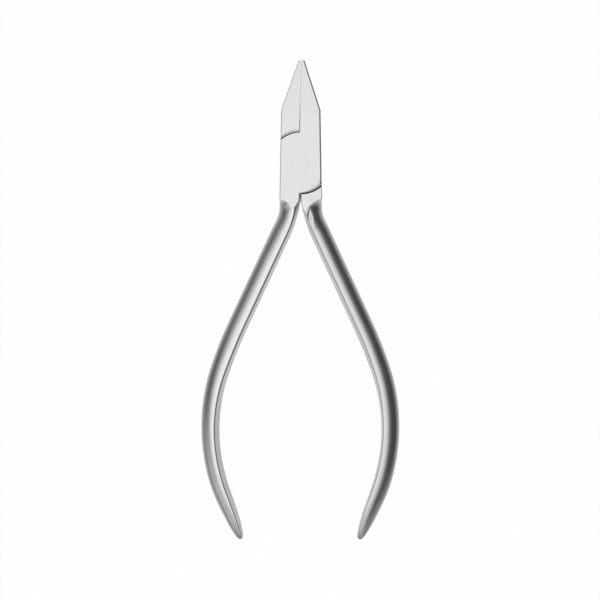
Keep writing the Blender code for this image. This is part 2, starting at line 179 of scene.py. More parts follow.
@dataclass(frozen=True)
class SatinSteel:
    """Stainless steel, ground along the piece and then blasted with fine glass beads.

    It gives the eye a pale grey metal whose reflections are soft at the edges, with
    faint streaks along the grain and a fine, even sparkle.
    """

    name: str = "satin_stainless_steel"
    colour: str = "#d9d9da"
    streak_colour: str = "#d3d3d5"
    roughness: float = 0.27
    roughness_spread: float = 0.05
    streak_length: float = 9.0 * MM
    streak_width: float = 0.35 * MM
    streak_detail: float = 3.0
    streak_breakup: float = 0.55
    bead_size: float = 0.22 * MM
    bead_detail: float = 1.0
    relief: float = 0.0007 * MM

    def build(self) -> bpy.types.Material:
        """Make the material.

        Returns:
            The material, which reads the piece's grain map.
        """
        material, tree, shader = new_material(self.name)
        grain = add_node(tree, "ShaderNodeUVMap", {"uv_map": GRAIN_MAP})
        along = add_node(tree, "ShaderNodeMapping", inputs={
            "Vector": grain.outputs[0],
            "Scale": (1 / self.streak_length, 1 / self.streak_width, 1.0),
        })
        streaks = add_node(tree, "ShaderNodeTexNoise", inputs={
            "Vector": along.outputs[0], "Scale": 1.0,
            "Detail": self.streak_detail, "Roughness": self.streak_breakup,
        }).outputs["Fac"]
        place = add_node(tree, "ShaderNodeTexCoord")
        beads = add_node(tree, "ShaderNodeTexNoise", inputs={
            "Vector": place.outputs["Object"], "Scale": 1 / self.bead_size, "Detail": self.bead_detail,
        }).outputs["Fac"]
        dullness = add_node(tree, "ShaderNodeMapRange", inputs={
            "Value": streaks,
            "To Min": self.roughness - self.roughness_spread / 2,
            "To Max": self.roughness + self.roughness_spread / 2,
        })
        tree.links.new(dullness.outputs[0], shader.inputs["Roughness"])
        height = calculate(tree, "ADD", streaks, beads)
        pattern_metal(tree, streaks, height, (self.streak_colour, self.colour), self.relief)
        return material


@dataclass(frozen=True)
class MilledSteelPaintedShade:
    """Bare steel inside the joint, left as the cutter made it and dulled by wear, with a dark colour that is
    painted shade.

    It gives the eye a dark, dull metal with round cutter marks about the pivot. The dull finish and the marks
    are the steel's own; the dark colour is painted shade for the slot, the pockets and the bore.
    """

    name: str = "cut_joint_steel_painted_shade"
    # Painted shade: this dark steel colour stands in for the shade inside the joint's slot, pockets and bore
    colour: str = "#77777a"
    mark_colour: str = "#5e5e61"
    roughness: float = 0.45
    mark_pitch: float = 0.25 * MM
    mark_wander: float = 1.5
    mark_detail: float = 2.0
    relief: float = 0.004 * MM

    def build(self) -> bpy.types.Material:
        """Make the material.

        Returns:
            The material, whose marks run round the pivot.
        """
        material, tree, shader = new_material(self.name)
        place = add_node(tree, "ShaderNodeTexCoord")
        marks = add_node(tree, "ShaderNodeTexWave", {"wave_type": "RINGS", "rings_direction": "Z"}, {
            "Vector": place.outputs["Object"],
            "Scale": 1 / (WAVE_PERIOD * self.mark_pitch),
            "Distortion": self.mark_wander,
            "Detail": self.mark_detail,
        }).outputs["Fac"]
        pattern_metal(tree, marks, marks, (self.mark_colour, self.colour), self.relief)
        shader.inputs["Roughness"].default_value = self.roughness
        return material


@dataclass(frozen=True)
class MattPaper:
    """White studio paper, which takes the shadow of what lies on it.

    It gives the eye a plain white ground. It is white to the camera by a glow of its
    own, which metal sees too, brighter from straight above. Down in a narrow gap of the
    piece the glow fades out by an occlusion test: painted shade, so that the gap looks dark.
    """

    name: str = "matt_white_paper"
    colour: str = "#e6e6e6"
    roughness: float = 0.9
    glow_in_camera: float = 0.98
    glow_in_metal: float = 0.7
    # Painted shade in gaps: the occlusion distance, and the occlusion levels over which the glow fades
    gap_depth: float = 2.0 * MM
    gap_shade_fade: Point = (0.14, 0.22)
    sky_samples: int = 16

    def build(self) -> bpy.types.Material:
        """Make the material.

        Returns:
            The material, whose glow depends on what kind of ray meets it.
        """
        material, tree, shader = new_material(self.name)
        shader.inputs["Base Color"].default_value = linear(self.colour)
        shader.inputs["Roughness"].default_value = self.roughness
        path = add_node(tree, "ShaderNodeLightPath").outputs
        seen = path["Is Camera Ray"]
        mirrored = calculate(tree, "MAXIMUM", path["Is Glossy Ray"], path["Is Transmission Ray"])
        mirrored_share = calculate(tree, "MULTIPLY", mirrored, self.glow_in_metal)
        share = calculate(tree, "MULTIPLY_ADD", seen, self.glow_in_camera, mirrored_share)
        # Painted shade: an occlusion test fades the floor's glow down in narrow gaps between the pieces
        sky = add_node(tree, "ShaderNodeAmbientOcclusion", {"samples": self.sky_samples}, {
            "Distance": self.gap_depth,
        })
        unshaded_share = fade(tree, sky.outputs["AO"], *self.gap_shade_fade, 1.0)
        share = calculate(tree, "MULTIPLY", share, unshaded_share)
        slant = add_node(tree, "ShaderNodeLayerWeight", inputs={"Blend": 0.5})
        upwards = calculate(tree, "SUBTRACT", 1.0, slant.outputs["Facing"])
        glow = calculate(tree, "MAXIMUM", upwards, seen)
        white = add_node(tree, "ShaderNodeEmission", inputs={"Strength": glow})
        mixed = add_node(tree, "ShaderNodeMixShader", inputs={
            0: share, 1: shader.outputs[0], 2: white.outputs[0],
        })
        tree.links.new(mixed.outputs[0], tree.nodes["Material Output"].inputs["Surface"])
        return material


# Meshes


def ring_loop(bm: bmesh.types.BMesh, ring: Ring) -> tuple[list, list]:
    """Lay a closed ring of vertices and edges into a bmesh.

    Args:
        bm: the bmesh.
        ring: the ring's points.

    Returns:
        Its vertices and its edges.
    """
    verts = [bm.verts.new(point) for point in ring]
    edges = [bm.edges.new((verts[index - 1], verts[index])) for index in range(len(verts))]
    return verts, edges


def loft(rings: list[Ring]) -> bmesh.types.BMesh:
    """Skin a row of closed rings and close both ends.

    Args:
        rings: the rings, which all have the same number of points.

    Returns:
        The closed skin.
    """
    bm = bmesh.new()
    loops = [ring_loop(bm, ring) for ring in rings]
    for (_, near), (_, far) in zip(loops, loops[1:]):
        bmesh.ops.bridge_loops(bm, edges=near + far)
    bm.faces.new(loops[0][0])
    bm.faces.new(loops[-1][0])
    return bm


def turned(profile: list[Point], centre: Point = (0.0, 0.0), steps: int = 180) -> bmesh.types.BMesh:
    """Spin a profile about an upright axis.

    Args:
        profile: (radius, height) points from one end of the axis to the other.
        centre: where the axis stands.
        steps: how many steps the full turn has.

    Returns:
        The closed round shape.
    """
    bm = bmesh.new()
    verts = [bm.verts.new((centre[0] + radius, centre[1], height)) for radius, height in profile]
    edges = [bm.edges.new(pair) for pair in zip(verts, verts[1:])]
    bmesh.ops.spin(
        bm, geom=verts + edges, cent=(*centre, 0.0), axis=(0.0, 0.0, 1.0),
        angle=math.tau, steps=steps, use_merge=True)
    return bm


def prism(outline: list[Point], bottom: float, top: float) -> bmesh.types.BMesh:
    """Extrude a closed plan outline from one height to another.

    Args:
        outline: the corners in plan.
        bottom: the lower height.
        top: the upper height.

    Returns:
        The prism.
    """
    bm = bmesh.new()
    base = bm.faces.new([bm.verts.new((x, y, bottom)) for x, y in outline])
    grown = bmesh.ops.extrude_face_region(bm, geom=[base])
    lifted = [part for part in grown["geom"] if isinstance(part, bmesh.types.BMVert)]
    bmesh.ops.translate(bm, verts=lifted, vec=(0.0, 0.0, top - bottom))
    return bm


def lay_grain(bm: bmesh.types.BMesh) -> None:
    """Give a ground block its grain map: across the faces, and along the sides.

    Args:
        bm: the block's bmesh.
    """
    layer = bm.loops.layers.uv.new(GRAIN_MAP)
    for face in bm.faces:
        flat = abs(face.normal.z) > 0.5
        for loop in face.loops:
            x, y, z = loop.vert.co
            loop[layer].uv = (x, y) if flat else (y, z)


def place_object(name: str, data: bpy.types.ID) -> bpy.types.Object:
    """Put a mesh or a camera into the scene as an object."""
    item = bpy.data.objects.new(name, data)
    bpy.context.scene.collection.objects.link(item)
    return item


def solid(name: str, bm: bmesh.types.BMesh, material: bpy.types.Material) -> bpy.types.Object:
    """Turn a bmesh into an object with its normals outwards.

    Args:
        name: the object's name.
        bm: the bmesh, which is freed.
        material: what it is made of.

    Returns:
        The object, linked to the scene.
    """
    bmesh.ops.remove_doubles(bm, verts=bm.verts, dist=MERGE_DISTANCE)
    bmesh.ops.recalc_face_normals(bm, faces=bm.faces)
    if not bm.loops.layers.uv:
        lay_grain(bm)
    mesh = bpy.data.meshes.new(name)
    bm.to_mesh(mesh)
    bm.free()
    mesh.materials.append(material)
    return place_object(name, mesh)


def machine(item: bpy.types.Object, tools: list[tuple[bpy.types.Object, Cut]]) -> None:
    """Join tools to a piece or cut them out of it, and then put the tools away.

    Args:
        item: the piece.
        tools: each tool with what it does, in order.
    """
    for tool, cut in tools:
        modifier = item.modifiers.new(tool.name, "BOOLEAN")
        modifier.operation = cut.value
        modifier.solver = "EXACT"
        modifier.material_mode = "TRANSFER"
        modifier.object = tool
    bpy.context.view_layer.update()
    graph = bpy.context.evaluated_depsgraph_get()
    made = bpy.data.meshes.new_from_object(
        item.evaluated_get(graph), preserve_all_data_layers=True, depsgraph=graph)
    item.modifiers.clear()
    raw = item.data
    item.data = made
    made.name = item.name
    bpy.data.meshes.remove(raw)
    for tool, _ in tools:
        mesh = tool.data
        bpy.data.objects.remove(tool)
        bpy.data.meshes.remove(mesh)


def smooth(item: bpy.types.Object) -> None:
    """Shade a piece smooth between its real edges, with its flats kept flat.

    Args:
        item: the piece.
    """
    item.data.shade_smooth()
    item.data.set_sharp_from_angle(angle=SHARP_ANGLE)
    weighting = item.modifiers.new("flat_faces", "WEIGHTED_NORMAL")
    weighting.keep_sharp = True


def arc(radius: float, start: float, end: float, centre: Point = (0.0, 0.0),
        step_angle: float = math.radians(1.5)) -> list[Point]:
    """Points on an arc, both ends included.

    Args:
        radius: the arc's radius.
        start: its first angle.
        end: its last angle.
        centre: its centre.
        step_angle: the widest angle between two points.

    Returns:
        The points in plan.
    """
    steps = max(2, math.ceil(abs(end - start) / step_angle))
    angles = [start + (end - start) * step / steps for step in range(steps + 1)]
    return [(centre[0] + radius * math.cos(a), centre[1] + radius * math.sin(a)) for a in angles]


def blend(start: float, end: float, share: float) -> float:
    """A smooth step from one value to another as the share goes from 0 to 1."""
    share = min(1.0, max(0.0, share))
    return start + (end - start) * share * share * (3 - 2 * share)


# Head


@dataclass
class Head:
    """Sizes of the flat block round the joint, which both halves share."""

    thickness: float = 8.0 * MM
    half_width: float = 5.58 * MM
    flare: float = math.radians(1.0)
    neck_reach: float = 9.8 * MM
    edge_break: float = 0.3 * MM
    right_edge_break: float = 0.55 * MM
    cheek_radius: float = 8.3 * MM
    shoulder_clearance: float = 0.17 * MM
    handle_gap: float = 0.4 * MM
    inner_chamfer: float = 0.45 * MM
    roll_depth: float = 0.65 * MM
    rim_steps: int = 12

    @property
    def middle(self) -> float:
        """Height of the parting plane, halfway through the head."""
        return self.thickness / 2

    def face(self, flip: int, beyond: float = 0.0) -> float:
        """Height of the front face (+1) or the back one (-1), or of a plane beyond it."""
        return self.middle + flip * (self.middle + beyond)

    def side_x(self, y: float) -> float:
        """Half width of the head at a distance y along it."""
        return self.half_width - y * math.tan(self.flare)

    def side_on_circle(self, upper: bool) -> Point:
        """Where the side of the head crosses the cheeks' circle.

        Args:
            upper: the crossing towards the tips, or else the one towards the handles.

        Returns:
            The crossing on the right side.
        """
        slope = math.tan(self.flare)
        a = 1 + slope * slope
        b = -2 * self.half_width * slope
        c = self.half_width ** 2 - self.cheek_radius ** 2
        root = math.sqrt(b * b - 4 * a * c)
        y = (-b + root) / (2 * a) if upper else (-b - root) / (2 * a)
        return self.side_x(y), y

    def inset(self, before: Corner, here: Corner, after: Corner, turning: float) -> tuple[Point, float]:
        """How far a corner moves inwards for the rounding of its two edges.

        Args:
            before: the corner before it, with the rounding of the edge that leaves it.
            here: the corner itself.
            after: the corner after it.
            turning: +1 for an outline that runs anticlockwise, -1 for one that doesn't.

        Returns:
            The move in plan, and the depth of the rounding there.
        """
        normals = []
        for start, end in ((before, here), (here, after)):
            length = math.hypot(end[0] - start[0], end[1] - start[1])
            normals.append((-turning * (end[1] - start[1]) / length, turning * (end[0] - start[0]) / length))
        (ax, ay), (bx, by) = normals
        first, second = before[2], here[2]
        cross = ax * by - ay * bx
        if abs(cross) < SOFT_CORNER:
            share = (first + second) / (2 * math.hypot(ax + bx, ay + by))
            shift = ((ax + bx) * share, (ay + by) * share)
        else:
            shift = ((first * by - second * ay) / cross, (second * ax - first * bx) / cross)
        return shift, min(max(first, second), self.roll_depth)

    def block(self, outline: list[Corner]) -> bmesh.types.BMesh:
        """Extrude a plan outline through the head, with rounded rims front and back.

        Args:
            outline: the corners, each with the rounding of the edge that leaves it.

        Returns:
            The block.
        """
        area = sum(a[0] * b[1] - b[0] * a[1] for a, b in zip(outline, outline[1:] + outline[:1]))
        turning = math.copysign(1.0, area)
        moves = []
        for index, here in enumerate(outline):
            after = outline[(index + 1) % len(outline)]
            moves.append(self.inset(outline[index - 1], here, after, turning))
        rims = []
        for step in range(self.rim_steps + 1):
            angle = math.pi / 2 * step / self.rim_steps
            inwards, down = 1 - math.sin(angle), 1 - math.cos(angle)
            rims.append([
                (here[0] + shift[0] * inwards, here[1] + shift[1] * inwards, depth * down)
                for here, (shift, depth) in zip(outline, moves)
            ])
        upper = [[(x, y, self.thickness - z) for x, y, z in rim] for rim in reversed(rims)]
        bm = loft(rims + upper)
        bmesh.ops.remove_doubles(bm, verts=bm.verts, dist=MERGE_DISTANCE)
        return bm


@dataclass
class Jaws:
    """The two short jaws, whose faces come down towards the tips."""

    head: Head
    reach: float = 27.9 * MM
    taper_start: float = 14.3 * MM
    tip_width: float = 1.6 * MM
    tip_thickness: float = 2.0 * MM
    tip_offset: float = 0.18 * MM
    gap_at_tip: float = 0.03 * MM
    gap_at_root: float = 0.12 * MM
    seam_break: float = 0.04 * MM
    offset_at_tip: float = 0.12 * MM
    offset_at_root: float = -0.38 * MM
    break_start: float = 8.7 * MM
    break_end: float = 13.1 * MM
    break_drop: float = 0.15 * MM
    break_steps: int = 16

    def seam_x(self, y: float, side: Side) -> float:
        """The face of a jaw beside the seam, at a distance y along it."""
        root = self.head.cheek_radius
        share = (y - root) / (self.reach - root)
        middle = self.offset_at_root + (self.offset_at_tip - self.offset_at_root) * share
        gap = self.gap_at_root + (self.gap_at_tip - self.gap_at_root) * share
        return middle + side.value * gap / 2

    def corners(self, side: Side) -> list[Corner]:
        """The corners of one jaw in plan, from the seam at the tip round its outer side."""
        edge = self.head.edge_break if side is Side.LEFT else self.head.right_edge_break
        outer = side.value * self.head.side_x(self.taper_start)
        return [
            (self.seam_x(self.reach, side), self.reach, 0.0),
            (self.tip_offset + side.value * self.tip_width / 2, self.reach, edge),
            (outer, self.taper_start, edge),
        ]

    def thinning(self, y: float) -> float:
        """How far each face of the jaws lies below the head's face at a distance y."""
        if y <= self.break_start:
            return 0.0
        if y <= self.break_end:
            share = (y - self.break_start) / (self.break_end - self.break_start)
            return self.break_drop * share * share
        share = (y - self.break_end) / (self.reach - self.break_end)
        tip_drop = (self.head.thickness - self.tip_thickness) / 2
        return self.break_drop + (tip_drop - self.break_drop) * share

    def shape(self, bm: bmesh.types.BMesh) -> None:
        """Bring the jaws' faces down towards the tips, with a soft break at the head.

        Args:
            bm: a half's block.
        """
        for step in range(self.break_steps + 1):
            y = self.break_start + (self.break_end - self.break_start) * step / self.break_steps
            parts = [*bm.verts, *bm.edges, *bm.faces]
            bmesh.ops.bisect_plane(
                bm, geom=parts, dist=MERGE_DISTANCE, plane_co=(0.0, y, 0.0), plane_no=(0.0, 1.0, 0.0))
        for vert in bm.verts:
            side = math.copysign(1.0, vert.co.z - self.head.middle)
            vert.co.z -= side * self.thinning(vert.co.y)


# Handles


@dataclass
class Handle:
    """One handle: a neck bend, a straight run, an easy bend, a bow that turns back, a tail.

    Its section is rounded outside and drafted inside, down to a parting line halfway.
    """

    head: Head
    side: Side
    width: float = 5.328 * MM
    bow_width: float = 4.778 * MM
    narrowing_start: float = 39.2 * MM
    narrowing_run: float = 39.7 * MM
    waist_depth: float = 0.31 * MM
    waist_run: float = 9.6 * MM
    neck_bend_radius: float = 17.53 * MM
    lean: float = math.radians(24.9)
    straight_run: float = 29.1 * MM
    easy_bend_radius: float = 124.7 * MM
    easy_bend: float = math.radians(5.95)
    bow_radius: float = 49.4 * MM
    bow_turn: float = math.radians(41.55)
    tail_run: float = 12.06 * MM
    nose_length: float = 20.1 * MM
    nose_fullness: float = 0.395
    nose_rounding: float = 12.0 * MM
    grip_depth: float = 7.4 * MM
    bow_depth: float = 6.4 * MM
    draft: float = 0.8 * MM
    crest_rounding: float = 0.45 * MM
    bow_crest_rounding: float = 0.3 * MM
    crest_fall: float = math.radians(17.0)
    crest_lean: float = 0.6 * MM
    left_bow_draft: float = 1.4 * MM
    right_bow_draft: float = 0.45 * MM
    crease_shift_start: float = 42.0 * MM
    crease_shift_run: float = 26.0 * MM
    face_runout: float = 4.2 * MM
    left_depth_ease: float = 12.0 * MM
    right_depth_ease: float = 5.0 * MM
    rounding_ease: float = 9.0 * MM
    left_draft_run: float = 2.2 * MM
    right_draft_start: float = 1.8 * MM
    right_draft_run: float = 3.2 * MM
    right_root_rounding: float = 0.2 * MM
    neck_spacing: float = 0.15 * MM
    spacing: float = 0.5 * MM
    nose_rings: int = 40
    side_steps: int = 40
    crest_steps: int = 8
    flank_stops: Point = (0.35, 0.7)
    least_swing: float = math.radians(4.0)
    swing_margin: float = math.radians(2.0)
    last_nose_swing: float = math.radians(88.5)

    def runs(self) -> list[tuple[float, float]]:
        """The handle's runs from the head to its end, each with its length and its turn."""
        return [
            (self.neck_bend_radius * self.lean, self.lean),
            (self.straight_run, 0.0),
            (self.easy_bend_radius * self.easy_bend, -self.easy_bend),
            (self.bow_radius * self.bow_turn, -self.bow_turn),
            (self.tail_run, 0.0),
        ]

    @property
    def length(self) -> float:
        """Length of the handle along its middle."""
        return sum(run for run, _ in self.runs())

    def station(self, travelled: float) -> tuple[float, float, float]:
        """Follow the middle of the handle.

        Args:
            travelled: the length from the head.

        Returns:
            Its x and y, as for a right handle, and its heading away from the axis.
        """
        x = (self.head.side_x(-self.head.neck_reach) + self.head.handle_gap / 2) / 2
        y, heading, left = -self.head.neck_reach, 0.0, travelled
        for length, turn in self.runs():
            part = min(left, length)
            if turn:
                radius = length / turn
                after = heading + part / radius
                x += radius * (math.cos(heading) - math.cos(after))
                y -= radius * (math.sin(after) - math.sin(heading))
                heading = after
            else:
                x += part * math.sin(heading)
                y -= part * math.cos(heading)
            left -= part
            if left <= 0.0:
                break
        return x, y, heading

    def rounded_end(self, travelled: float, length: float, fullness: float) -> float:
        """How much of a size is left on an end that is rounded over a length."""
        along = max(0.0, (travelled - self.length + length) / length)
        return max(0.0, 1 - along * along) ** fullness

    def width_at(self, travelled: float) -> float:
        """Width of the handle in plan, at a length from the head."""
        root = self.head.side_x(-self.head.neck_reach) - self.head.handle_gap / 2
        width = blend(root, self.width, travelled / self.face_runout)
        narrowing = (travelled - self.narrowing_start) / self.narrowing_run
        width += blend(0.0, self.bow_width - self.width, narrowing)
        if travelled < self.waist_run:
            width -= self.waist_depth * math.sin(math.pi * travelled / self.waist_run) ** 2
        return width * self.rounded_end(travelled, self.nose_length, self.nose_fullness)

    def crest_at(self, travelled: float) -> float:
        """Height of the handle's crest above the parting line, at a length from the head."""
        middle = self.head.middle
        if travelled <= self.face_runout:
            return middle
        beyond = travelled - self.face_runout
        ease = self.left_depth_ease if self.side is Side.LEFT else self.right_depth_ease
        height = blend(middle, self.grip_depth / 2, beyond / ease)
        share = beyond / (self.length - self.nose_rounding - self.face_runout)
        height += (self.bow_depth - self.grip_depth) / 2 * min(1.0, share)
        return height * self.rounded_end(travelled, self.nose_rounding, 0.5)

    def drafted_side(self, draft: float, rounding: float, top: float, bulge: float) -> list[Point]:
        """Inner side of a section, from above the parting line up over the crest's corner.

        Args:
            draft: how far the crest's corner leans outwards.
            rounding: how far the rounding reaches from the corner.
            top: the crest's height.
            bulge: 0 for a flat chamfer at the corner, 1 for a rounding.

        Returns:
            (offset outwards, height) points.
        """
        slant = math.hypot(draft, top)
        low = 1 - rounding / slant
        high = 1 - rounding * math.tan(self.crest_fall) / top
        start, end = (draft * low, top * low), (draft + rounding, top)
        corner = [
            (start[axis] + end[axis]) / 2 * (1 - bulge) + (draft, top)[axis] * high * bulge for axis in (0, 1)
        ]
        points = [(draft * low * share, top * low * share) for share in self.flank_stops]
        for step in range(self.crest_steps + 1):
            t = step / self.crest_steps
            a, b, c = (1 - t) ** 2, 2 * t * (1 - t), t * t
            points.append(tuple(a * start[axis] + b * corner[axis] + c * end[axis] for axis in (0, 1)))
        return points

    def rounded_side(self, crest: float, width: float, top: float, runout: float) -> list[Point]:
        """Outer side of a section: upright at the head, an ellipse once the face has run out.

        Args:
            crest: where the crest's flat begins.
            width: the section's width.
            top: the crest's height.
            runout: 0 at the head, 1 where its flat face has run out.

        Returns:
            (offset outwards, height) points, from the crest down to above the parting line.
        """
        centre = crest - self.crest_lean * width / self.width
        reach = width - centre
        flat_share = (1 - runout) ** 2
        edge = self.head.edge_break * flat_share
        flat_end = crest + (width - crest) * flat_share
        swing = max(math.acos(min(1.0, (flat_end - centre) / reach)), self.least_swing)
        depth = top / math.sin(swing)
        side = [(centre + reach * math.cos(swing) - edge, top)]
        highest = min(math.asin((top - edge) / depth), swing - self.swing_margin)
        for step in range(self.side_steps):
            angle = highest * (1 - step / self.side_steps)
            side.append((centre + reach * math.cos(angle), depth * math.sin(angle)))
        return side

    def section(self, travelled: float) -> list[Point]:
        """One closed section of the handle.

        Args:
            travelled: the length from the head.

        Returns:
            (offset outwards from the middle, height) points, from the inner parting line.
        """
        width, top = self.width_at(travelled), self.crest_at(travelled)
        runout = min(1.0, travelled / self.face_runout)
        shrink = min(1.0, width / self.width)
        if self.side is Side.LEFT:
            drafted, bow_draft = travelled / self.left_draft_run, self.left_bow_draft
            root_rounding, root_bulge = self.head.inner_chamfer, 0.0
        else:
            drafted = (travelled - self.right_draft_start) / self.right_draft_run
            bow_draft = self.right_bow_draft
            root_rounding, root_bulge = self.right_root_rounding, 1.0
        along = (travelled - self.crease_shift_start) / self.crease_shift_run
        draft = blend(0.0, blend(self.draft, bow_draft, along), drafted) * shrink
        rounding = blend(self.crest_rounding, self.bow_crest_rounding, along)
        rounding = blend(root_rounding, rounding, travelled / self.rounding_ease)
        rounding *= min(shrink, 2 * top / self.bow_depth)
        bulge = blend(root_bulge, 1.0, runout)
        upper = [(0.0, 0.0)] + self.drafted_side(draft, rounding, top, bulge)
        upper += self.rounded_side(draft + rounding, width, top, runout)
        lower = [(offset, -height) for offset, height in upper[:0:-1]]
        ring = upper + [(width, 0.0)] + lower
        return [(offset - width / 2, height) for offset, height in ring]

    def stops(self) -> list[float]:
        """Lengths from the head at which the handle has a ring."""
        neck = self.neck_bend_radius * self.lean
        nose = self.length - self.nose_length
        fine = math.ceil(neck / self.neck_spacing)
        plain = math.ceil((nose - neck) / self.spacing)
        stops = [neck * step / fine for step in range(fine)]
        stops += [neck + (nose - neck) * step / plain for step in range(plain)]
        swings = [self.last_nose_swing * step / self.nose_rings for step in range(self.nose_rings + 1)]
        return stops + [nose + self.nose_length * math.sin(swing) for swing in swings]

    def mesh(self) -> bmesh.types.BMesh:
        """Loft the handle and lay its grain along it.

        Returns:
            The closed handle.
        """
        rings, grain = [], []
        for travelled in self.stops():
            x, y, heading = self.station(travelled)
            across = (math.cos(heading), math.sin(heading))
            ring = []
            for offset, height in self.section(travelled):
                point = (
                    self.side.value * (x + across[0] * offset),
                    y + across[1] * offset,
                    self.head.middle + height,
                )
                ring.append(point)
            rings.append(ring)
            grain.append(travelled)
        bm = loft(rings)
        self.lay_grain(bm, grain, len(rings[0]))
        return bm

    def lay_grain(self, bm: bmesh.types.BMesh, travelled: list[float], count: int) -> None:
        """Write the grain map: the length along the handle and the way round it.

        Args:
            bm: the handle, with its rings' vertices in order.
            travelled: each ring's length from the head.
            count: how many vertices a ring has.
        """
        layer = bm.loops.layers.uv.new(GRAIN_MAP)
        bm.verts.index_update()
        bm.verts.ensure_lookup_table()
        girth = 2 * (self.width + self.grip_depth) / count
        for face in bm.faces:
            places = [loop.vert.index % count for loop in face.loops]
            wraps = max(places) - min(places) > count / 2 and len(places) == 4
            for loop, place in zip(face.loops, places):
                turn = place + count if wraps and place < count / 2 else place
                loop[layer].uv = (travelled[loop.vert.index // count], turn * girth)


# Halves and rivet


@dataclass
class Joint:
    """Sizes of the box joint and its rivet."""

    tongue_thickness: float = 3.2 * MM
    tongue_clearance: float = 0.1 * MM
    stop_reach: float = 6.9 * MM
    stop_clearance: float = 0.15 * MM
    opening: float = math.radians(30.0)
    rivet_radius: float = 1.6 * MM
    rivet_head_radius: float = 2.3 * MM
    rivet_head_depth: float = 0.7 * MM
    seat_clearance: float = 0.01 * MM
    running_clearance: float = 0.05 * MM
    overrun: float = 2.0 * MM

    def rivet_profile(self, head: Head, clearance: float, overrun: float) -> list[Point]:
        """Half section of the rivet, or of its seat when a clearance is given.

        Args:
            head: the head that it goes through.
            clearance: how much wider than the rivet it is.
            overrun: how far it stands out of both faces.

        Returns:
            (radius, height) points from top to bottom.
        """
        shank, wide = self.rivet_radius + clearance, self.rivet_head_radius + clearance
        top, sink = head.thickness, self.rivet_head_depth
        profile = [(0.0, top + overrun), (wide, top + overrun)]
        if overrun:
            profile.append((wide, top))
        profile += [(shank, top - sink), (shank, sink)]
        if overrun:
            profile.append((wide, 0.0))
        return profile + [(wide, -overrun), (0.0, -overrun)]


@dataclass
class SlottedHalf:
    """The half with the slot: right jaw, two cheeks and the left handle."""

    head: Head
    jaws: Jaws
    joint: Joint
    steel: bpy.types.Material
    milled_and_shaded: bpy.types.Material
    roll_at_neck: float = 0.5 * MM
    roll_at_side: float = 1.7 * MM
    upper_roll: float = 0.26 * MM

    def outline(self) -> list[Corner]:
        """Plan of the half down to the root of its handle."""
        head, jaws = self.head, self.jaws
        right_x, right_y = head.side_on_circle(upper=False)
        left_x, left_y = head.side_on_circle(upper=True)
        inner_x = -head.handle_gap / 2
        seam_top = jaws.seam_x(head.cheek_radius, Side.RIGHT)
        lower = arc(head.cheek_radius, math.atan2(right_y, right_x), -math.acos(inner_x / head.cheek_radius))
        upper = arc(head.cheek_radius, math.atan2(left_y, -left_x), math.acos(seam_top / head.cheek_radius))
        rolls = [
            blend(self.roll_at_side, self.roll_at_neck, place / len(lower)) for place in range(len(lower))
        ]
        return [
            *jaws.corners(Side.RIGHT),
            *[(x, y, roll) for (x, y), roll in zip(lower[:-1], rolls)],
            (*lower[-1], head.inner_chamfer),
            (inner_x, -head.neck_reach, 0.0),
            (-head.side_x(-head.neck_reach), -head.neck_reach, head.edge_break),
            *[(x, y, self.upper_roll) for x, y in upper[:-1]],
            (*upper[-1], jaws.seam_break),
        ]

    def slot(self) -> bmesh.types.BMesh:
        """The slot's room, as wide as the head and open where the tongue leaves it."""
        head, joint, jaws = self.head, self.joint, self.jaws
        wide = 2 * head.half_width
        beyond = head.cheek_radius + joint.overrun
        half = joint.tongue_thickness / 2 + joint.tongue_clearance
        outline = [
            (-wide, -joint.stop_reach),
            (-head.handle_gap / 2, -joint.stop_reach),
            (-head.handle_gap / 2, -beyond),
            (wide, -beyond),
            (wide, joint.stop_reach),
            (jaws.seam_x(joint.stop_reach, Side.RIGHT), joint.stop_reach),
            (jaws.seam_x(beyond, Side.RIGHT), beyond),
            (-wide, beyond),
        ]
        return prism(outline, head.middle - half, head.middle + half)

    def build(self) -> bpy.types.Object:
        """Model and dress the half.

        Returns:
            The finished piece.
        """
        block = self.head.block(self.outline())
        self.jaws.shape(block)
        piece = solid("slotted_half", block, self.steel)
        handle = solid("left_handle", Handle(self.head, Side.LEFT).mesh(), self.steel)
        slot = solid("slot_room", self.slot(), self.milled_and_shaded)
        profile = self.joint.rivet_profile(self.head, self.joint.seat_clearance, self.joint.overrun)
        seat = solid("rivet_seat", turned(profile), self.steel)
        machine(piece, [(handle, Cut.JOIN), (slot, Cut.REMOVE), (seat, Cut.REMOVE)])
        smooth(piece)
        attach(piece, "slotted_side")
        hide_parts("box_half")
        return piece


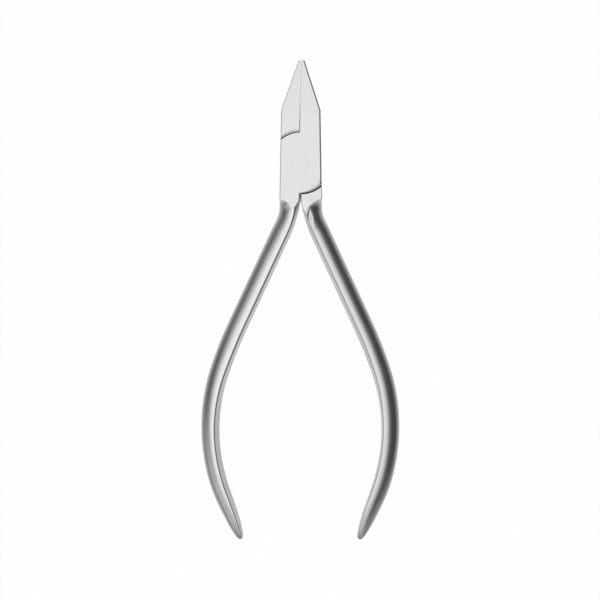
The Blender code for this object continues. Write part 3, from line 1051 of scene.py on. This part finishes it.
@dataclass
class TonguedHalf:
    """The half with the tongue: left jaw, the tongue through the slot and the right handle."""

    head: Head
    jaws: Jaws
    joint: Joint
    steel: bpy.types.Material
    milled_and_shaded: bpy.types.Material
    rim_width: float = 1.1 * MM
    rim_depth: float = 0.45 * MM
    rim_shift: float = 0.4 * MM
    rim_bearing: float = math.radians(130.0)
    rim_end_tilt: float = math.radians(7.0)
    rim_steps: int = 12
    step_centre: Point = (6.4 * MM, -14.6 * MM)
    step_radius: float = 4.35 * MM
    roll_radius: float = 2.34 * MM
    roll_tilt: float = math.radians(28.0)
    roll_end_tilt: float = math.radians(4.0)
    roll_steps: int = 14

    def tongue_corner(self, turned_round: bool) -> list[Point]:
        """One end of the tongue, flat against the slot's wall when closed and when open.

        Args:
            turned_round: the end towards the handles, or else the one towards the tips.

        Returns:
            The points in plan.
        """
        head, joint = self.head, self.joint
        reach = joint.stop_reach - joint.stop_clearance
        flank = math.pi / 2 - joint.opening
        slope = math.tan(head.flare) * (-1 if turned_round else 1)
        side_y = (reach - head.half_width * math.cos(flank)) / (math.sin(flank) - slope * math.cos(flank))
        points = [(head.half_width - slope * side_y, side_y)] + arc(reach, flank, math.pi / 2)
        return [(-x, -y) for x, y in points] if turned_round else points

    def outline(self) -> list[Corner]:
        """Plan of the half down to the root of its handle."""
        head, jaws = self.head, self.jaws
        reach = self.joint.stop_reach - self.joint.stop_clearance
        inner_x = head.handle_gap / 2
        return [
            *jaws.corners(Side.LEFT),
            *[(x, y, 0.0) for x, y in self.tongue_corner(turned_round=True)],
            (inner_x, -reach, 0.0),
            (inner_x, -head.neck_reach, 0.0),
            (head.side_x(-head.neck_reach), -head.neck_reach, head.edge_break),
            *[(x, y, 0.0) for x, y in self.tongue_corner(turned_round=False)],
            (jaws.seam_x(reach, Side.LEFT), reach, jaws.seam_break),
        ]

    def relief(self, flip: int) -> bmesh.types.BMesh:
        """The round pocket that clears a cheek.

        Args:
            flip: +1 for the front pocket, -1 for the back one.

        Returns:
            The pocket's room.
        """
        head = self.head
        floor = head.middle + flip * self.joint.tongue_thickness / 2
        beyond = head.face(flip, self.joint.overrun)
        radius = head.cheek_radius + head.shoulder_clearance
        return turned([(0.0, beyond), (radius, beyond), (radius, floor), (0.0, floor)])

    def dish(self, wall: list[Point], flip: int, centre: Point) -> bmesh.types.BMesh:
        """The round room inside a rolled wall, which stands out of the face.

        Args:
            wall: (radius, height) points of the wall, from its foot to the face.
            flip: +1 for the front face, -1 for the back one.
            centre: where the room's axis stands.

        Returns:
            The room.
        """
        beyond = self.head.face(flip, self.joint.overrun)
        wide = wall[-1][0] + self.joint.overrun
        return turned([(0.0, beyond), (wide, beyond), *wall[::-1], (0.0, wall[0][1])], centre)

    def rim(self, flip: int) -> bmesh.types.BMesh:
        """The room that rolls the pocket's rim over, wide at the left jaw and slight at the neck.

        Args:
            flip: +1 for the front rim, -1 for the back one.

        Returns:
            The room, which stands a little towards the left jaw.
        """
        head = self.head
        inner = head.cheek_radius + head.shoulder_clearance - self.rim_shift
        last = self.rim_end_tilt
        wall = []
        for step in range(self.rim_steps + 1):
            swing = math.pi / 2 + (last - math.pi / 2) * step / self.rim_steps
            drop = self.rim_depth * (math.cos(last) - math.cos(swing))
            wall.append((inner + self.rim_width * (1 - math.sin(swing)), head.face(flip) - flip * drop))
        centre = (self.rim_shift * math.cos(self.rim_bearing), self.rim_shift * math.sin(self.rim_bearing))
        return self.dish(wall, flip, centre)

    def neck_step(self, flip: int) -> bmesh.types.BMesh:
        """The round room above the right neck, whose wall rolls up to the head's face.

        Args:
            flip: +1 for the front face, -1 for the back one.

        Returns:
            The room.
        """
        wall = []
        for step in range(self.roll_steps + 1):
            tilt = self.roll_tilt + (self.roll_end_tilt - self.roll_tilt) * step / self.roll_steps
            radius = self.step_radius + self.roll_radius * (math.sin(self.roll_tilt) - math.sin(tilt))
            drop = self.roll_radius * (math.cos(self.roll_end_tilt) - math.cos(tilt))
            wall.append((radius, self.head.face(flip) - flip * drop))
        return self.dish(wall, flip, self.step_centre)

    def build(self) -> bpy.types.Object:
        """Model and dress the half.

        Returns:
            The finished piece.
        """
        block = self.head.block(self.outline())
        self.jaws.shape(block)
        piece = solid("tongued_half", block, self.steel)
        handle = solid("right_handle", Handle(self.head, Side.RIGHT).mesh(), self.steel)
        radius = self.joint.rivet_radius + self.joint.running_clearance
        bore = turned([(0.0, self.head.thickness), (radius, self.head.thickness), (radius, 0.0), (0.0, 0.0)])
        rooms = [
            solid(f"{face}_{name}", room(flip), finish)
            for name, room, finish in (
                ("relief", self.relief, self.milled_and_shaded),
                ("rim", self.rim, self.steel),
                ("neck_step", self.neck_step, self.steel),
            )
            for face, flip in (("front", 1), ("back", -1))
        ]
        rooms.append(solid("rivet_bore", bore, self.milled_and_shaded))
        machine(piece, [(handle, Cut.JOIN)] + [(room, Cut.REMOVE) for room in rooms])
        smooth(piece)
        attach(piece, "tongued_side")
        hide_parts("tongue_half")
        return piece


@dataclass
class Rivet:
    """The pivot rivet, peened and ground flush with both faces of the head."""

    head: Head
    joint: Joint
    steel: bpy.types.Material

    def build(self) -> bpy.types.Object:
        """Model and dress the rivet.

        Returns:
            The finished piece.
        """
        piece = solid("flush_rivet", turned(self.joint.rivet_profile(self.head, 0.0, 0.0)), self.steel)
        smooth(piece)
        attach(piece, "slotted_side")
        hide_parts("pivot_rivet")
        return piece


# Studio


@dataclass(frozen=True)
class Softbox:
    """A round patch of light in the studio, seen from the object.

    Azimuth 0 is +X and 90 is +Y. All angles are degrees, and the tilt is measured down
    from straight overhead. Out to the core the patch has its full strength, and past
    the edge it gives nothing.
    """

    azimuth: float
    tilt: float
    core: float
    edge: float
    strength: float

    @property
    def axis(self) -> Vector:
        """The direction of its middle."""
        turn, tilt = math.radians(self.azimuth), math.radians(self.tilt)
        return Vector((math.sin(tilt) * math.cos(turn), math.sin(tilt) * math.sin(turn), math.cos(tilt)))

    def add(self, tree: bpy.types.NodeTree, look: bpy.types.NodeSocket) -> bpy.types.NodeSocket:
        """Add its light to a world.

        Args:
            tree: the world's node tree.
            look: the direction that is looked in.

        Returns:
            How bright the patch is in that direction.
        """
        facing = add_node(tree, "ShaderNodeVectorMath", {"operation": "DOT_PRODUCT"}, {0: look, 1: self.axis})
        return fade(tree, facing.outputs["Value"], math.cos(math.radians(self.edge)),
                    math.cos(math.radians(self.core)), self.strength)


@dataclass(frozen=True)
class Ceiling:
    """A wide soft light overhead, which reaches down to the horizon beyond the tips.

    Each other side has two tilts from straight overhead, in degrees: where its light
    begins to fade, and where it is gone.
    """

    left: Point = (24.0, 88.0)
    right: Point = (21.0, 43.0)
    front: Point = (4.0, 85.0)
    strength: float = 1.08

    def add(self, tree: bpy.types.NodeTree, look: bpy.types.NodeSocket) -> bpy.types.NodeSocket:
        """Add its light to a world.

        Args:
            tree: the world's node tree.
            look: the direction that is looked in.

        Returns:
            How bright the light is in that direction.
        """
        parts = add_node(tree, "ShaderNodeSeparateXYZ", inputs={0: look})
        bright = self.strength
        for axis, sense, (near, far) in (("X", -1, self.left), ("X", 1, self.right), ("Y", -1, self.front)):
            gone = sense * math.sin(math.radians(far))
            full = sense * math.sin(math.radians(near))
            side = fade(tree, parts.outputs[axis], gone, full, 1.0)
            bright = calculate(tree, "MULTIPLY", side, bright)
        return bright


@dataclass
class Studio:
    """A pale paper floor, soft light all round and the camera straight overhead."""

    base: float = 0.055
    lights: tuple[Ceiling | Softbox, ...] = (
        Ceiling(),
        Softbox(azimuth=180, tilt=22, core=0, edge=24, strength=0.2),
        Softbox(azimuth=205, tilt=80, core=0, edge=35, strength=0.5),
        Softbox(azimuth=270, tilt=65, core=5, edge=45, strength=0.35),
        Softbox(azimuth=320, tilt=85, core=0, edge=30, strength=0.25),
    )
    floor_size: float = 4.0
    floor_drop: float = 0.02 * MM
    paper: MattPaper = MattPaper()
    camera_height: float = 1.2
    sensor_width_mm: float = 36.0
    clip: Point = (0.01, 10.0)
    middle_px: Point = (300.6, 163.5)
    roll: float = math.radians(0.1)

    def light(self) -> None:
        """Light the studio with soft patches in the world."""
        world = bpy.data.worlds.new("studio")
        bpy.context.scene.world = world
        world.use_nodes = True
        tree = world.node_tree
        look = add_node(tree, "ShaderNodeTexCoord").outputs["Generated"]
        total = self.base
        for light in self.lights:
            total = calculate(tree, "ADD", light.add(tree, look), total)
        background = tree.nodes["Background"]
        background.inputs["Color"].default_value = (1.0, 1.0, 1.0, 1.0)
        tree.links.new(total, background.inputs["Strength"])

    def floor(self) -> bpy.types.Object:
        """Lay the paper floor, which glows white to the camera and keeps the shadow.

        Returns:
            The floor.
        """
        bm = bmesh.new()
        bmesh.ops.create_grid(bm, x_segments=1, y_segments=1, size=self.floor_size / 2)
        bmesh.ops.translate(bm, verts=bm.verts, vec=(0.0, 0.0, -self.floor_drop))
        mesh = bpy.data.meshes.new("paper_floor")
        bm.to_mesh(mesh)
        bm.free()
        mesh.materials.append(self.paper.build())
        floor = place_object("paper_floor", mesh)
        return floor

    def camera(self, plane: float) -> bpy.types.Object:
        """Stand the camera straight over the pliers, at the photograph's scale.

        Args:
            plane: the height that is seen at that scale.

        Returns:
            The camera.
        """
        data = bpy.data.cameras.new("camera")
        span = PHOTO_WIDTH_PX * MM_PER_PX * MM
        data.sensor_width = self.sensor_width_mm
        data.lens = self.sensor_width_mm * self.camera_height / span
        data.clip_start, data.clip_end = self.clip
        camera = place_object("camera", data)
        centre = PHOTO_WIDTH_PX / 2
        camera.location = (
            (centre - self.middle_px[0]) * MM_PER_PX * MM,
            (self.middle_px[1] - centre) * MM_PER_PX * MM,
            plane + self.camera_height,
        )
        camera.rotation_euler = (0.0, 0.0, self.roll)
        bpy.context.scene.camera = camera
        return camera

    def build(self, plane: float) -> None:
        """Set up the floor, the light and the camera.

        Args:
            plane: the height that the camera sees at the photograph's scale.
        """
        scene = bpy.context.scene
        scene.view_settings.view_transform = "Standard"
        self.light()
        self.floor()
        self.camera(plane)


def main() -> None:
    """Build the pliers and the studio, and log each piece's face count."""
    head = Head()
    jaws = Jaws(head)
    joint = Joint()
    steel = SatinSteel().build()
    # Painted shade: the joint's recesses get a darker steel colour
    milled_and_shaded = MilledSteelPaintedShade().build()
    Studio().build(head.middle)
    for maker in (
        SlottedHalf(head, jaws, joint, steel, milled_and_shaded),
        TonguedHalf(head, jaws, joint, steel, milled_and_shaded),
        Rivet(head, joint, steel),
    ):
        piece = maker.build()
        log.info("%s: %d faces", piece.name, len(piece.data.polygons))


if __name__ == "__main__":
    logging.basicConfig(level=logging.INFO)
    main()
